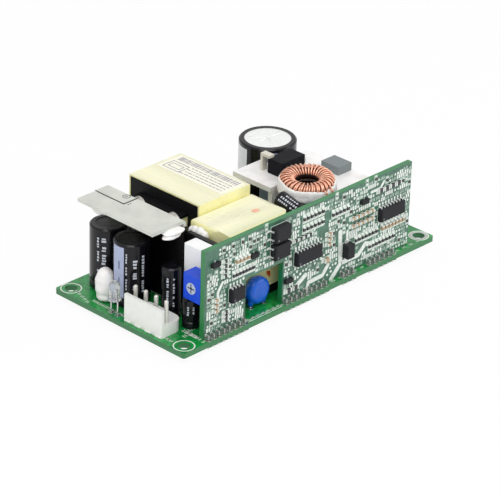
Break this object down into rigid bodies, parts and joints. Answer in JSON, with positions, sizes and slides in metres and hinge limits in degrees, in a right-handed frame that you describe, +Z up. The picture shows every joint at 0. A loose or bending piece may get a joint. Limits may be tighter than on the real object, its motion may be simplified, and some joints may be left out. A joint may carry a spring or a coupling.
{
  "type": "open frame power supply",
  "caption": "Open frame switching power supply: green board with corner mounting holes, pin headers at both ends, upright control board, taped transformer, heatsinks and capacitors.",
  "frame": {"origin": "centre of the four mounting holes, on the underside of the main board, which rests on their standoffs", "axes": "+X along the board from the output header to the line input header, +Y away from the control board, +Z up through the parts"},
  "size_m": [0.1016, 0.0512, 0.0317],
  "materials": {
    "silicone_white": "white silicone adhesive",
    "can_aluminium": "drawn aluminium can",
    "sleeve_black": "glossy shrunk sleeve",
    "barrier_black": "black fibre sheet",
    "package_black": "black moulding compound",
    "box_white": "white box with epoxy fill",
    "tinned_metal": "bright tin plate",
    "chip_tan": "tan ceramic",
    "chip_dark": "dark glazed film on ceramic",
    "bobbin_black": "black phenolic",
    "tape_yellow": "pale yellow polyester tape",
    "control_green": "satin dark green solder mask over glass epoxy",
    "clip_steel": "bright spring steel",
    "disc_blue": "blue dipped epoxy",
    "ferrite": "dark sintered ferrite",
    "copper_wire": "enamelled copper wire",
    "fuse_brown": "brown moulding",
    "film_black": "black insulating film",
    "screw_steel": "zinc-plated steel",
    "lamp_clear": "clear epoxy",
    "white_nylon": "moulded white nylon",
    "limiter_green": "dark green dipped resin",
    "line_cap_grey": "grey box with epoxy fill",
    "board_green": "satin green solder mask over glass epoxy",
    "sink_aluminium": "plain sheet aluminium",
    "solder": "bright solder",
    "switch_grey": "dark grey moulding",
    "label_white": "printed label with plain grey bars",
    "trimmer_blue": "blue moulding",
    "rotor_white": "white moulding"
  },
  "bodies": {
    "supply": {"adhesive": "silicone_white", "auxiliary_capacitor_cans": "can_aluminium", "auxiliary_capacitor_sleeves": "sleeve_black", "barrier_sheet": "barrier_black", "boost_diode": "package_black", "boxed_capacitor": "box_white", "bridge_rectifier": "package_black", "bulk_capacitor_can": "can_aluminium", "bulk_capacitor_sleeve": "sleeve_black", "capacitor_leads": "tinned_metal", "chip_capacitors": "chip_tan", "chip_resistors": "chip_dark", "choke_bases": "bobbin_black", "choke_winding": "tape_yellow", "component_leads": "tinned_metal", "control_board": "control_green", "control_board_pins": "tinned_metal", "control_chip_leads": "tinned_metal", "control_chips": "package_black", "diode_clip": "clip_steel", "disc_capacitor": "disc_blue", "filter_choke_core": "ferrite", "filter_choke_windings": "copper_wire", "fuse": "fuse_brown", "heatsink_film": "film_black", "heatsink_screws": "screw_steel", "indicator_lamp": "lamp_clear", "input_header_housing": "white_nylon", "input_header_pins": "tinned_metal", "inrush_limiter": "limiter_green", "line_capacitor": "line_cap_grey", "main_board": "board_green", "optocouplers": "package_black", "output_capacitor_cans": "can_aluminium", "output_capacitor_sleeves": "sleeve_black", "output_header_housing": "white_nylon", "output_header_pins": "tinned_metal", "output_heatsink": "sink_aluminium", "output_rectifiers": "package_black", "package_leads": "tinned_metal", "power_diode": "package_black", "primary_heatsink": "sink_aluminium", "primary_transistor": "package_black", "second_output_heatsink": "sink_aluminium", "small_transistors": "package_black", "solder_feet": "solder", "solder_points": "solder", "thermal_switch": "switch_grey", "toroid_core": "ferrite", "toroid_winding": "copper_wire", "transformer_bobbin": "bobbin_black", "transformer_core": "ferrite", "transformer_label": "label_white", "transformer_pins": "tinned_metal", "transformer_tape": "tape_yellow", "transformer_winding": "tape_yellow", "trimmer_body": "trimmer_blue"},
    "rotor": {"trimmer_rotor": "rotor_white"}
  },
  "joints": [
    {"name": "trimmer_turn", "type": "hinge", "parent": "supply", "child": "rotor", "pos_m": [-0.0417, -0.01862, 0.0153], "axis": [1, 0, 0], "range_deg": [-130, 130]}
  ]
}
